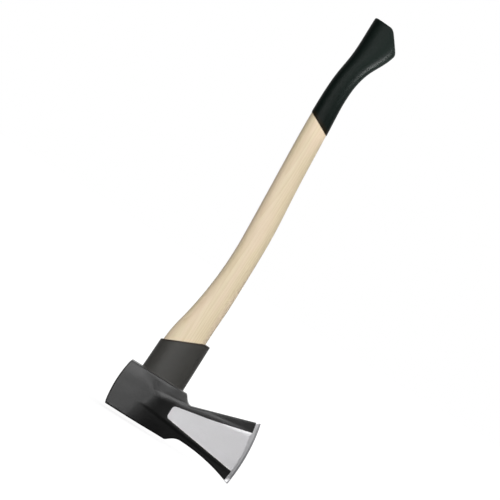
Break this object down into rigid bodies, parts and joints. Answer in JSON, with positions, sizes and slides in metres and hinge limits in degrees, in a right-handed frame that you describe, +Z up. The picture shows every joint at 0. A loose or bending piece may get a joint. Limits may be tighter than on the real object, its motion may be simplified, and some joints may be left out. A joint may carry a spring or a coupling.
{
  "type": "splitting maul",
  "caption": "Two-handed splitting maul: forged wedge head with hammer poll on a curved wooden handle, with overstrike guard and dipped grip.",
  "frame": {"origin": "middle of the eye's lower mouth, on the head's flat underside", "axes": "+Z up the eye and the handle, +X towards the cutting edge, +Y across the head's thickness"},
  "size_m": [0.2253, 0.057, 0.7061],
  "materials": {
    "head_paint": "satin anthracite paint, ground bare on the flats of the blade and along the edge",
    "guard_plastic": "matt moulded rubber",
    "handle_wood": "pale straight-grained hardwood, smooth and oiled",
    "grip_coat": "satin dipped coat",
    "wedge_wood": "end grain",
    "ring_steel": "plain steel"
  },
  "bodies": {
    "root": {"head": "head_paint", "overstrike_guard": "guard_plastic", "handle": "handle_wood", "grip_coating": "grip_coat", "wooden_wedge": "wedge_wood", "ring_wedge": "ring_steel"}
  },
  "joints": []
}
